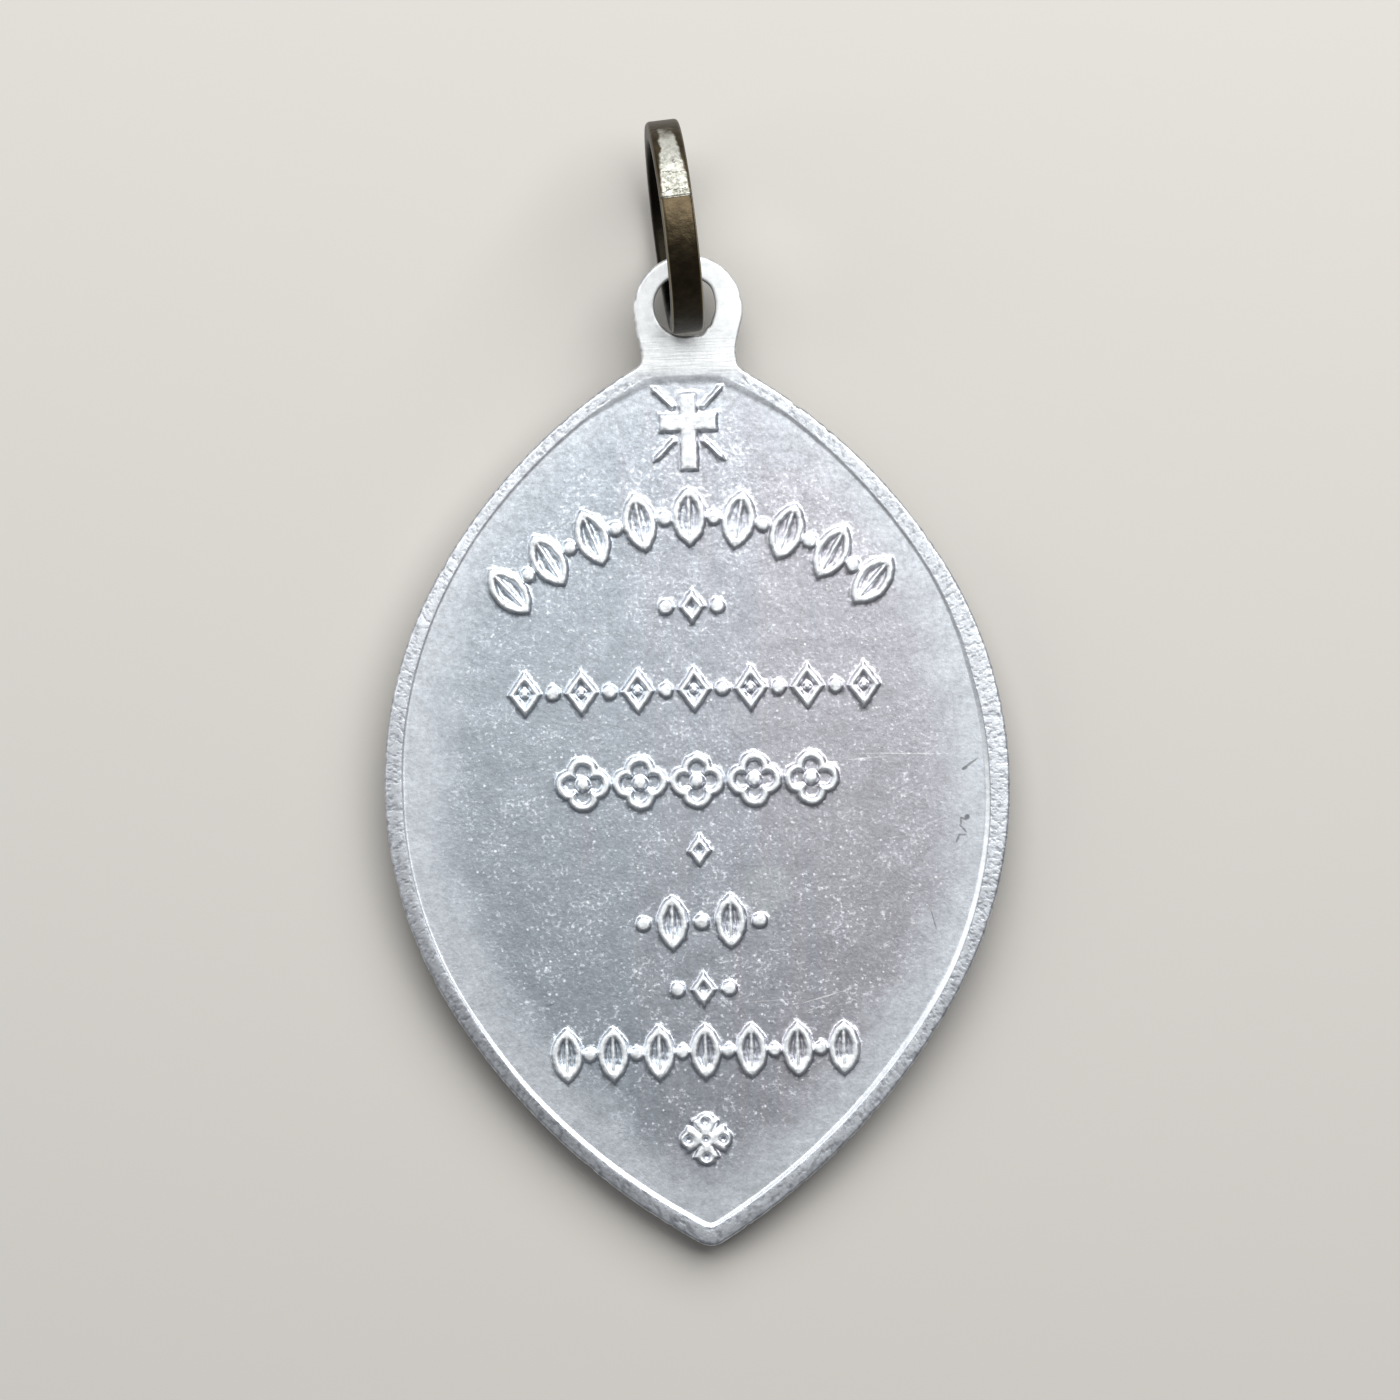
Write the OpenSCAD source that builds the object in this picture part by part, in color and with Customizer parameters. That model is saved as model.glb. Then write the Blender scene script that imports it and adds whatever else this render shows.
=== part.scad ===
// Struck pointed-oval medal with a pierced lug and a plain band ring.
// It lies face up, its foot on the table and its lug carried by the upright ring.

/* [Medal] */
// Widest width of the medal
medal_w = 27.9; // [26:0.1:30]
// Thickness over the two rims
medal_t = 1.6; // [1.4:0.05:2]
// Radius of the long middle arc of each side
side_r = 18.95; // [18.3:0.65:19.6]
// Radius of the flatter arcs that run up to the lug
top_flank_r = 25.45; // [24.8:0.65:26.75]
// Radius of the flatter arcs that run down to the foot
foot_flank_r = 30.65; // [29.35:0.65:32.6]
// Width of the flat rim
rim_w = 0.64; // [0.5:0.02:0.8]
// Width of the slope between rim and field
bevel_w = 0.25; // [0.15:0.05:0.35]
// Sideways shift of the struck field against the blank
strike_shift = -0.18; // [-0.3:0.02:0.3]
// Depth of the field under the rim, on each face
recess = 0.28; // [0.2:0.02:0.4]
// Chamfer of the outer edges
edge_c = 0.12; // [0.05:0.01:0.2]

/* [Lug] */
// Radius of the round lug
lug_r = 2.46; // [2.3:0.02:2.6]
// Height of the lug's centre above the middle of the medal
lug_y = 21.2; // [21:0.05:21.5]
// Sideways offset of the lug, which was struck a little off the axis
lug_x = 0.25; // [0:0.05:0.4]
// Half of the width of the neck under the lug
neck_half_w = 2.06; // [1.9:0.02:2.2]
// Radius of the hole
hole_r = 1.36; // [1.34:0.01:1.45]
// Offset of the hole from the lug's centre
hole_offset = [-0.14, 0.2]; // [-0.3:0.02:0.3]

/* [Relief] */
// Height of the raised ornament above the field
relief_h = 0.18; // [0.15:0.01:0.28]
// Width of the raised strokes
stroke_w = 0.3; // [0.25:0.01:0.4]
// Radius of the line on which the upper garland lies
arch_r = 12.2; // [12:0.1:12.5]
// Centre of that line
arch_y = -0.2; // [-0.4:0.1:0]
// Angle from one motif of the garland to the next
arch_pitch = 5.2; // [5:0.1:5.3]

/* [Ring] */
// Outer radius of the ring
ring_r = 4.75; // [4.7:0.01:4.85]
// Radial thickness of its band
ring_t = 0.85; // [0.7:0.01:0.87]
// Width of its band
ring_w = 1.45; // [1.2:0.05:1.45]
// Chamfer of the band's edges
ring_c = 0.12; // [0.05:0.01:0.2]
// Place of the closed seam, from the ring's top
seam_angle = 14; // [0:1:60]

/* [Rest] */
// Slope of the medal, whose lug lies on the ring
medal_slope = 2.45; // [2.4:0.05:2.8]
// Lean of the ring from upright
ring_lean = 3; // [0:0.5:4]
// Turn of the ring about the vertical
ring_turn = 5.4; // [0:0.2:6]
// Drop from the hole's upper edge to the ring under it
seat_gap = 0.38; // [0.36:0.01:0.45]

/* [Hidden] */
$fn = 64;

// Centres of the three arcs of the right side. Neighbours meet smoothly, on a line through both centres
// that climbs 33 for every 56 across and is 65 long, so the centres come out as round numbers.
join = [56, 33];
join_len = 65;
side_c = [medal_w / 2 - side_r, 0];
top_c = side_c - (top_flank_r - side_r) / join_len * join;
foot_c = side_c - (foot_flank_r - side_r) / join_len * [join.x, -join.y];
foot_y = foot_c.y - sqrt(pow(foot_flank_r, 2) - pow(foot_c.x, 2));

field_z = medal_t - recess;
foot_cut_y = foot_y + 0.12;
shoulder_y = 18.5;
field_top_y = 18.3;
eps = 0.05;

// The ornament: each row's height on the medal, its spacing, and the motifs that it repeats.
ROW_Y = 0;
ROW_COUNT = 1;
ROW_PITCH = 2;
ROW_KINDS = 3;
ROW_SIZES = 4;
rows = [
    [8.0, 3, 1.15, ["bead", "lozenge"], [0.62, 1.5]],
    [4.3, 13, 1.26, ["lozenge", "bead"], [2.0, 0.6]],
    [0.2, 5, 2.55, ["quatrefoil"], [2.4]],
    [-2.9, 1, 0, ["lozenge"], [1.4]],
    [-6.1, 5, 1.3, ["bead", "leaf"], [0.62, 2.4]],
    [-9.1, 3, 1.15, ["bead", "lozenge"], [0.62, 1.5]],
    [-11.9, 13, 1.03, ["leaf", "bead"], [2.4, 0.55]],
];
garland_kinds = ["leaf", "bead"];
garland_sizes = [2.6, 0.6];
garland_count = 17;
cross_y = 15.8;
rosette_y = -15.8;

// Where the parts lie when the object rests: the foot's lower edge and the ring's lowest edge are at z 0.
foot_flat_y = foot_c.y - sqrt(pow(foot_flank_r - edge_c, 2) - pow(foot_c.x, 2));
medal_z = -max(foot_cut_y, foot_flat_y) * sin(medal_slope);
hole_top_y = lug_y + hole_offset.y + hole_r;
hole_top_z = medal_z + hole_top_y * sin(medal_slope);
ring_z = ring_r * cos(ring_lean) + (ring_w / 2 - ring_c) * sin(ring_lean);
ring_inner_r = ring_r - ring_t;
ring_reach = sqrt(pow(ring_inner_r, 2) - pow(ring_z - hole_top_z + seat_gap, 2));
ring_y = hole_top_y * cos(medal_slope) + ring_reach;
ring_x = -0.24;
ring_far_y = ring_y + ring_r * cos(ring_turn) + (ring_w / 2 - ring_c) * sin(ring_turn);
foot_far_y = foot_cut_y * cos(medal_slope) - medal_t * sin(medal_slope);
row_mid_y = (ring_far_y + foot_far_y) / 2;

// Section of the blank from an arc's centre out to its edge at radius r.
module blank_section(r) {
    polygon([
        [0, 0],
        [r - edge_c, 0],
        [r, edge_c],
        [r, medal_t - edge_c],
        [r - edge_c, medal_t],
        [0, medal_t],
    ]);
}

// Section of what the die pressed down: the field, with the slope up to the rim.
module recess_section(r) {
    slope = bevel_w / recess;
    polygon([
        [0, field_z],
        [r - rim_w - bevel_w, field_z],
        [r - rim_w + slope * eps, medal_t + eps],
        [0, medal_t + eps],
    ]);
}

// What one arc's disc has between two lines from the side's centre, at x over 0.
module slice(centre, ends) {
    intersection() {
        translate([centre.x, centre.y, 0])
            rotate_extrude()
                children();
        translate([0, 0, -1])
            linear_extrude(medal_t + 2)
                polygon([side_c, side_c + ends[0], side_c + ends[1]]);
        translate([0, foot_cut_y, -1])
            cube([2 * medal_w, 2 * medal_w, medal_t + 2]);
    }
}

up = join;
down = [join.x, -join.y];
over = [0, 2 * join.y];
under = [0, -2 * join.y];

module half_blank() {
    slice(side_c, [down, up]) blank_section(side_r);
    slice(top_c, [up, over]) blank_section(top_flank_r);
    slice(foot_c, [under, down]) blank_section(foot_flank_r);
}

module half_recess() {
    intersection() {
        union() {
            slice(side_c, [down, up]) recess_section(side_r);
            slice(top_c, [up, over]) recess_section(top_flank_r);
            slice(foot_c, [under, down]) recess_section(foot_flank_r);
        }
        translate([0, foot_y, 0])
            cube([medal_w, field_top_y - foot_y, 2 * medal_t]);
    }
}

module whole(halves_at = 0) {
    translate([halves_at, 0, 0]) {
        children();
        mirror([1, 0, 0]) children();
    }
}

module lug() {
    translate([lug_x, lug_y, 0])
        rotate_extrude()
            blank_section(lug_r);
    // The neck flares where it runs into the shoulders.
    linear_extrude(medal_t)
        polygon([
            [lug_x - lug_r + eps, lug_y - 0.4],
            [lug_x - neck_half_w, lug_y - 2.1],
            [lug_x - neck_half_w - 0.1, shoulder_y + 0.3],
            [-neck_half_w - 0.35, shoulder_y],
            [neck_half_w + 0.35, shoulder_y],
            [lug_x + neck_half_w + 0.1, shoulder_y + 0.3],
            [lug_x + neck_half_w, lug_y - 2.1],
            [lug_x + lug_r - eps, lug_y - 0.4],
        ]);
}

module lug_hole() {
    translate([lug_x + hole_offset.x, lug_y + hole_offset.y, -eps])
        cylinder(r = hole_r, h = medal_t + 2 * eps);
}

// The motifs lie in the plane, their length along y.
module bead(d) {
    circle(d = d);
}

module lens(arc_r, half_w, inset) {
    intersection() {
        translate([arc_r - half_w, 0]) circle(arc_r - inset);
        translate([half_w - arc_r, 0]) circle(arc_r - inset);
    }
}

module leaf(len) {
    half_w = len * 0.28;
    arc_r = (pow(len / 2, 2) + pow(half_w, 2)) / (2 * half_w);
    difference() {
        lens(arc_r, half_w, 0);
        lens(arc_r, half_w, stroke_w);
    }
    square([0.2, len * 0.86], center = true);
}

module diamond(len) {
    half_w = len * 0.36;
    polygon([[-half_w, 0], [0, -len / 2], [half_w, 0], [0, len / 2]]);
}

module lozenge(len) {
    difference() {
        diamond(len);
        diamond(len - 2.8 * stroke_w);
    }
    if (len > 1.8) circle(d = stroke_w);
}

module quatrefoil(len) {
    lobe_r = len * 0.27;
    difference() {
        for (turn = [0:90:270])
            rotate(turn) translate([0, len / 2 - lobe_r]) circle(lobe_r);
        for (turn = [0:90:270])
            rotate(turn) translate([0, len / 2 - lobe_r]) circle(lobe_r - stroke_w);
        circle(len * 0.2);
    }
    circle(d = len * 0.24);
}

module ray(len) {
    polygon([[-0.13, 0], [0.13, 0], [0.1, len * 0.75], [0, len], [-0.1, len * 0.75]]);
}

module cross_with_rays() {
    square([0.75, 3.44], center = true);
    translate([0, 0.4]) square([2.55, 0.78], center = true);
    for (side = [-1, 1])
        for (up = [-1, 1])
            translate([side * 0.64, 0.36 + up * 0.72])
                rotate(-side * (90 - up * 45))
                    ray(1.35);
}

module rosette() {
    difference() {
        for (turn = [0:90:270])
            rotate(turn) translate([0, 0.73]) circle(0.41);
        for (turn = [0:90:270])
            rotate(turn) translate([0, 0.78]) circle(0.16);
    }
    for (turn = [45:90:315])
        for (spread = [-16, 16])
            rotate(turn + spread) translate([0, 0.6]) square([0.2, 0.76], center = true);
    difference() {
        circle(0.4);
        circle(0.12);
    }
}

module motif(kind, size) {
    if (kind == "bead") bead(size);
    if (kind == "leaf") leaf(size);
    if (kind == "lozenge") lozenge(size);
    if (kind == "quatrefoil") quatrefoil(size);
}

module raised() {
    translate([0, 0, field_z - eps])
        linear_extrude(relief_h + eps)
            children();
}

module ornament() {
    translate([0.1, cross_y]) cross_with_rays();
    translate([-0.1, rosette_y]) rosette();
    for (i = [0:garland_count - 1]) {
        k = i % len(garland_kinds);
        translate([0, arch_y])
            rotate(((garland_count - 1) / 2 - i) * arch_pitch)
                translate([0, arch_r])
                    motif(garland_kinds[k], garland_sizes[k]);
    }
    for (row = rows)
        for (i = [0:row[ROW_COUNT] - 1]) {
            k = i % len(row[ROW_KINDS]);
            translate([(i - (row[ROW_COUNT] - 1) / 2) * row[ROW_PITCH], row[ROW_Y]])
                motif(row[ROW_KINDS][k], row[ROW_SIZES][k]);
        }
}

module medal() {
    color("gainsboro")
        translate([0, -row_mid_y, medal_z])
            rotate([medal_slope, 0, 0]) {
                difference() {
                    union() {
                        whole() half_blank();
                        lug();
                    }
                    whole(strike_shift) half_recess();
                    translate([0, 0, medal_t]) mirror([0, 0, 1]) whole() half_recess();
                    lug_hole();
                }
                raised() ornament();
            }
}

module band() {
    inner = ring_inner_r;
    half_w = ring_w / 2;
    rotate_extrude()
        polygon([
            [inner + ring_c, -half_w],
            [ring_r - ring_c, -half_w],
            [ring_r, -half_w + ring_c],
            [ring_r, half_w - ring_c],
            [ring_r - ring_c, half_w],
            [inner + ring_c, half_w],
            [inner, half_w - ring_c],
            [inner, -half_w + ring_c],
        ]);
}

module ring() {
    color("darkolivegreen")
        translate([ring_x, ring_y - row_mid_y, ring_z])
            rotate([0, 0, ring_turn])
                rotate([0, ring_lean, 0])
                    rotate([-seam_angle, 0, 0])
                        difference() {
                            rotate([0, 90, 0]) band();
                            // The seam, a shallow cut across the closed band
                            translate([-ring_w, -0.04, ring_r - 0.1])
                                cube([2 * ring_w, 0.08, 1]);
                        }
}

medal();
ring();
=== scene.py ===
import math

import bmesh
import bpy
import numpy as np
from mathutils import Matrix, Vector
from mathutils.geometry import delaunay_2d_cdt
from mathutils.kdtree import KDTree


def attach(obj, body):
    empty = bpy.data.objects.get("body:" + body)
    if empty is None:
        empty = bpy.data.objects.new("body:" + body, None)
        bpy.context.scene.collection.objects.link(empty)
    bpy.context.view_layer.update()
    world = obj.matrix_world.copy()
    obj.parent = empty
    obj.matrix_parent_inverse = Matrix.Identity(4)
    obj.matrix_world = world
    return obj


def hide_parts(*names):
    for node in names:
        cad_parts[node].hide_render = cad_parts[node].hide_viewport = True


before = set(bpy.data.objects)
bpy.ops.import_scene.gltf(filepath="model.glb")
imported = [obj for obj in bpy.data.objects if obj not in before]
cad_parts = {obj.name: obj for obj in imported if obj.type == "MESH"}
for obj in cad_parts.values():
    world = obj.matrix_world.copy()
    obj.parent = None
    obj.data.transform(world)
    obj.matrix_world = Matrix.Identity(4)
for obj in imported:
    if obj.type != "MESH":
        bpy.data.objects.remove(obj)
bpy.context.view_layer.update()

mm = 0.001
scene = bpy.context.scene


def hexColour(code):
    values = [int(code[i:i + 2], 16) / 255 for i in (1, 3, 5)]
    return tuple(v / 12.92 if v <= 0.04045 else ((v + 0.055) / 1.055) ** 2.4 for v in values) + (1.0,)


def addNode(tree, kind, inputs=None, **settings):
    # an input is a plain value, a socket, or a node whose first output in use is linked
    node = tree.nodes.new(kind)
    for name, value in settings.items():
        setattr(node, name, value)
    for name, value in (inputs or {}).items():
        if isinstance(value, bpy.types.Node):
            value = next(socket for socket in value.outputs if socket.enabled)
        if isinstance(value, bpy.types.NodeSocket):
            tree.links.new(value, node.inputs[name])
        else:
            node.inputs[name].default_value = value
    return node


def newTree(name, sockets):
    tree = bpy.data.node_groups.new(name, "GeometryNodeTree")
    for label, kind in sockets.items():
        tree.interface.new_socket(label, in_out="INPUT", socket_type="NodeSocket" + kind)
    tree.interface.new_socket("Geometry", in_out="OUTPUT", socket_type="NodeSocketGeometry")
    return tree, addNode(tree, "NodeGroupInput").outputs


def closeTree(tree, geometry, material):
    real = addNode(tree, "GeometryNodeRealizeInstances", {0: geometry})
    dressed = addNode(tree, "GeometryNodeSetMaterial", {"Geometry": real, "Material": material})
    addNode(tree, "NodeGroupOutput", {0: dressed})


def newMaterial(name):
    material = bpy.data.materials.new(name)
    material.use_nodes = True
    material.node_tree.nodes.clear()
    return material, material.node_tree


def meshObject(name, verts, faces):
    mesh = bpy.data.meshes.new(name)
    mesh.from_pydata([tuple(v) for v in verts], [], [tuple(f) for f in faces])
    mesh.update()
    thing = bpy.data.objects.new(name, mesh)
    scene.collection.objects.link(thing)
    return thing


def growMesh(carrier, tree, values):
    # runs the tree on the carrier and keeps what comes out as its plain mesh
    modifier = carrier.modifiers.new(tree.name, "NODES")
    modifier.node_group = tree
    for item in tree.interface.items_tree:
        if item.in_out == "INPUT" and item.name in values:
            modifier[item.identifier] = values[item.name]
    evaluated = carrier.evaluated_get(bpy.context.evaluated_depsgraph_get())
    result = bpy.data.meshes.new_from_object(evaluated)
    carrier.modifiers.remove(modifier)
    carrier.data = result
    return carrier


def smoothRise(share):
    t = np.clip(share, 0, 1)
    return t * t * (3 - 2 * t)


def arcPoints(centre, radius, start, end, step):
    count = max(3, int(abs(end - start) * radius / step) + 1)
    turn = np.linspace(start, end, count)
    return np.stack([centre[0] + radius * np.cos(turn), centre[1] + radius * np.sin(turn)], 1)


def turned(shape, degrees, x=0, y=0):
    c, s = math.cos(math.radians(degrees)), math.sin(math.radians(degrees))
    return np.asarray(shape, float) @ np.array([[c, s], [-s, c]]) + (x, y)


def evenLoop(points, step):
    # the same closed line with its points an even step apart
    closed = np.vstack([points, points[:1]])
    run = np.concatenate([[0], np.cumsum(np.hypot(*np.diff(closed, axis=0).T))])
    at = np.linspace(0, run[-1], int(run[-1] / step), endpoint=False)
    return np.stack([np.interp(at, run, closed[:, k]) for k in (0, 1)], 1)


def softLoop(points, softness, step):
    # rounds a closed line's corners by about the given softness
    fine = evenLoop(points, 0.03)
    reach = int(3 * softness / 0.03)
    weights = np.exp(-0.5 * (np.arange(-reach, reach + 1) * 0.03 / softness) ** 2)
    wrapped = np.vstack([fine[-reach:], fine, fine[:reach]])
    smooth = np.stack([np.convolve(wrapped[:, k], weights / weights.sum(), "valid") for k in (0, 1)], 1)
    return evenLoop(smooth, step)


def inwardNormals(loop):
    along = np.roll(loop, -1, 0) - np.roll(loop, 1, 0)
    along /= np.hypot(*along.T)[:, None]
    return np.stack([-along[:, 1], along[:, 0]], 1)


def pointTree(points):
    tree = KDTree(len(points))
    for i, (x, y) in enumerate(points):
        tree.insert((x, y, 0), i)
    tree.balance()
    return tree


def loopDistance(points, loop):
    # distance to a closed counter-clockwise line, over zero inside it, and the nearest place along the line
    tree = pointTree(loop)
    near = np.array([tree.find((x, y, 0))[1] for x, y in points])
    best, side, where = np.full(len(points), 1e9), np.ones(len(points)), np.zeros(len(points))
    for a in ((near - 1) % len(loop), near):
        start, run = loop[a], loop[(a + 1) % len(loop)] - loop[a]
        share = np.clip(((points - start) * run).sum(1) / (run ** 2).sum(1), 0, 1)
        gap = points - (start + run * share[:, None])
        size = np.hypot(*gap.T)
        closer = size < best
        best = np.where(closer, size, best)
        where = np.where(closer, a + share, where)
        side = np.where(closer, np.where(run[:, 0] * gap[:, 1] - run[:, 1] * gap[:, 0] >= 0, 1, -1), side)
    return best * side, where


def contains(shape, points):
    # which points lie in a closed shape
    x, y = points[:, 0], points[:, 1]
    inside = np.zeros(len(points), bool)
    for (ax, ay), (bx, by) in zip(shape, np.roll(shape, -1, 0)):
        crosses = (ay > y) != (by > y)
        with np.errstate(divide="ignore", invalid="ignore"):
            inside ^= crosses & (x < (bx - ax) * (y - ay) / (by - ay) + ax)
    return inside


def hexGrid(low, high, pitch):
    rows = [np.stack([np.arange(low[0] + (i % 2) * pitch / 2, high[0], pitch)] * 2, 1)
            for i in range(int((high[1] - low[1]) / (pitch * 0.866)))]
    for i, row in enumerate(rows):
        row[:, 1] = low[1] + i * pitch * 0.866
    return np.vstack(rows)


# Sizes are in millimetres in the medal's own plane: foot down, lug up, middle of the widest part at the origin.
pointStep = 0.12                # spacing of the points along the edges

medal = {
    "width": 27.9,
    "thickness": 1.6,
    "sideRadius": 18.95,        # middle arc of each side
    "topFlankRadius": 25.45,    # flatter arc towards the lug
    "footFlankRadius": 30.65,   # flatter arc towards the foot
    "joinRun": (56 / 65, 33 / 65),  # direction in which the arcs meet
    "rimWidth": 0.64,
    "depth": (0.2, 0.06),       # of the field under the blank's face, at the foot and at the top
    "backRim": (0.25, 0.2, 0.05, 0.2),  # on the back: step's width and height, edge's fall, field's depth
    "fieldTop": 18.35,
    "innerSoftness": 0.2,       # of the field's corners
    "outerSoftness": 0.14,      # of the outline's corners
    "edgeRound": 0.13,
    "fallWidth": 0.6,           # of the worn strip along the outer edge
    "bluntTip": -20.6,          # where the foot's tip is worn off
    "sideTop": 18.4,            # where the sides end under the lug
    "lugStart": 18.0,
    "lugRun": 0.7,              # over which the face rises to the lug's flat
    "lugCentre": (0.25, 21.2),
    "lugRadius": 2.46,
    "lugTuck": 0.4,             # how far its round runs on below its centre
    "neckRight": [(2.41, 18.62), (2.4, 18.85), (2.31, 19.15), (2.37, 19.7)],
    "neckLeft": [(-2.03, 19.8), (-1.92, 19.4), (-1.87, 19.15), (-1.91, 18.86), (-2.38, 18.55)],
    "holeCentre": (0.11, 21.4),
    "holeRadius": 1.36,
    "slope": 2.45,              # degrees, the lug's end up on the ring
    "seatY": -4.464,            # place of the medal's middle in the frame
    "seatZ": 0.881,
}

# The rim was struck and worn unevenly. Direction in degrees round the medal's middle, then in millimetres
# the rim's width, the width and the height of the step down to the field, and the fall of its outer edge.
rimForm = [(-180, 0.78, 0.09, 0.06, 0.12), (-140, 0.65, 0.1, 0.08, 0.1), (-120, 0.54, 0.17, 0.11, 0.1),
           (-105, 0.62, 0.19, 0.12, 0.08), (-90, 0.77, 0.17, 0.11, 0.05), (-60, 0.67, 0.23, 0.13, 0.04),
           (-40, 0.63, 0.26, 0.14, 0.04), (-20, 0.77, 0.27, 0.15, 0.03), (0, 0.9, 0.22, 0.13, 0.03),
           (20, 0.95, 0.15, 0.08, 0.02), (40, 0.73, 0.12, 0.05, 0.0), (60, 0.66, 0.14, 0.04, 0.0),
           (75, 0.54, 0.2, 0.04, 0.0), (84, 0.64, 0.4, 0.04, 0.0), (96, 0.64, 0.4, 0.04, 0.0),
           (105, 0.52, 0.16, 0.04, 0.0), (130, 0.5, 0.1, 0.04, 0.02), (150, 0.65, 0.09, 0.05, 0.06),
           (180, 0.78, 0.09, 0.06, 0.12)]

# dents in the hole's edge: direction in degrees, width in degrees, depth in millimetres
holeDents = [(-62, 7, 0.13), (-40, 5, 0.06), (35, 10, 0.05)]


def sideArcs(inset):
    # the right side from the foot's tip to the top, moved inwards
    run = np.array(medal["joinRun"])
    join = math.atan2(run[1], run[0])
    side = np.array([medal["width"] / 2 - medal["sideRadius"], 0])
    top = side - (medal["topFlankRadius"] - medal["sideRadius"]) * run
    foot = side - (medal["footFlankRadius"] - medal["sideRadius"]) * run * (1, -1)
    topRadius, footRadius = medal["topFlankRadius"] - inset, medal["footFlankRadius"] - inset
    return np.vstack([
        arcPoints(foot, footRadius, -math.acos(-foot[0] / footRadius), -join, 0.1),
        arcPoints(side, medal["sideRadius"] - inset, -join, join, 0.1)[1:],
        arcPoints(top, topRadius, join, math.acos(-top[0] / topRadius), 0.1)[1:],
    ])


def outlineLoop():
    # the medal's silhouette, counter-clockwise from the foot's tip
    right = sideArcs(0)
    right = right[(right[:, 1] < medal["sideTop"]) & (right[:, 1] > medal["bluntTip"])]
    tuck = math.asin(medal["lugTuck"] / medal["lugRadius"])
    lug = arcPoints(medal["lugCentre"], medal["lugRadius"], -tuck, math.pi + tuck, 0.1)
    whole = np.vstack([right, medal["neckRight"], lug, medal["neckLeft"], right[::-1] * (-1, 1)])
    return softLoop(whole, medal["outerSoftness"], pointStep)


def crestLoop(uneven):
    # the line where the rim turns down into the field
    right = sideArcs(medal["rimWidth"])
    right = right[right[:, 1] < medal["fieldTop"]]
    step = pointStep if uneven else 2 * pointStep
    loop = softLoop(np.vstack([right, right[::-1] * (-1, 1)]), medal["innerSoftness"], step)
    if uneven:
        form = np.array(rimForm)
        width = np.interp(np.degrees(np.arctan2(loop[:, 1], loop[:, 0])), form[:, 0], form[:, 1])
        moved = loop + inwardNormals(loop) * (width - medal["rimWidth"])[:, None]
        loop = softLoop(moved, medal["innerSoftness"], step)
    return loop


def holeLoop():
    loop = arcPoints((0, 0), 1, 0, 2 * math.pi, 0.06)[:-1]
    turn = np.degrees(np.arctan2(loop[:, 1], loop[:, 0]))
    radius = np.full(len(loop), medal["holeRadius"])
    for middle, width, depth in holeDents:
        radius += depth * np.exp(-0.5 * ((turn - middle) / width) ** 2)
    return loop * radius[:, None] + medal["holeCentre"]


outline, hole = outlineLoop(), holeLoop()


def faceShape(points, crest, uneven):
    # height of a struck face over the medal's middle plane, with what the strike and the finish read there
    fromEdge, along = loopDistance(points, outline)
    fromHole = -loopDistance(points, hole)[0]
    fromCrest = loopDistance(points, crest)[0]
    if uneven:
        form, turn = np.array(rimForm), np.degrees(np.arctan2(points[:, 1], points[:, 0]))
        slopeWidth, step, fall = (np.interp(turn, form[:, 0], form[:, k]) for k in (2, 3, 4))
        depth = np.interp(points[:, 1], (-20, 18), medal["depth"])
    else:
        slopeWidth, step, fall, depth = medal["backRim"]
    lug = smoothRise((points[:, 1] - medal["lugStart"]) / medal["lugRun"])
    rounding = medal["edgeRound"]
    nearest = np.minimum(fromEdge, fromHole)
    tuck = rounding - np.sqrt(np.maximum(rounding ** 2 - np.clip(rounding - nearest, 0, rounding) ** 2, 0))
    worn = (depth - step) + fall * (1 - smoothRise(fromEdge / medal["fallWidth"]))
    sunk = np.clip(fromCrest / slopeWidth, 0, 1)
    height = medal["thickness"] / 2 - tuck - worn * (1 - lug) - step * (0.6 * sunk + 0.4 * smoothRise(sunk))
    return height, fromEdge, fromHole, fromCrest, lug, along


def facePatch(extra, crest, slopeSteps, pitch):
    # one face as triangles: rings that follow the edges, the extra points, and a wide grid between them
    low, high = (-14.2, -21), (14.2, 24)    # a box round the outline
    rings = [outline, hole]
    edgeSteps = [share * medal["edgeRound"] for share in (0.16, 0.42, 0.74, 1.05)] + [0.2, 0.3, 0.42]
    for loop, inward, steps in ((outline, inwardNormals(outline), edgeSteps),
                                (hole, -inwardNormals(hole), edgeSteps[:5]),
                                (crest, inwardNormals(crest), slopeSteps)):
        for step in steps:
            moved = loop + inward * step
            away = np.abs(loopDistance(moved, loop)[0])
            rings.append(moved[np.abs(away - abs(step)) < 0.04 * abs(step) + 0.004])
    close = np.vstack(rings + [extra])
    taken = pointTree(close)
    wide = hexGrid(low, high, pitch)
    wide = wide[np.array([taken.find((x, y, 0))[2] for x, y in wide]) > 0.13]
    wide = wide[(loopDistance(wide, outline)[0] > 0.15) & (loopDistance(wide, hole)[0] < -0.15)]
    points = np.vstack([close, wide])
    edges = [(start + i, start + (i + 1) % count)
             for start, count in ((0, len(outline)), (len(outline), len(hole))) for i in range(count)]
    verts, _, faces, *_ = delaunay_2d_cdt([Vector(p) for p in points], edges, [], 1, 1e-4, False)
    verts, faces = np.array(verts), np.array([face for face in faces if len(face) == 3])
    middle = verts[faces].mean(axis=1)
    return verts, faces[contains(outline, middle) & ~contains(hole, middle)]


# Each motif is a list of shapes that are added or cut in turn.
lineWidth = 0.3                 # of the raised lines, in millimetres


def disc(x, y, radius, sides=36):
    return arcPoints((x, y), radius, 0, 2 * math.pi, 2 * math.pi * radius / sides)[:-1]


def bar(width, length, x=0, y=0):
    return np.array([(-1, -1), (1, -1), (1, 1), (-1, 1)]) * (width / 2, length / 2) + (x, y)


def diamond(length):
    return np.array([(0, -0.5), (0.36, 0), (0, 0.5), (-0.36, 0)]) * length


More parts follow.
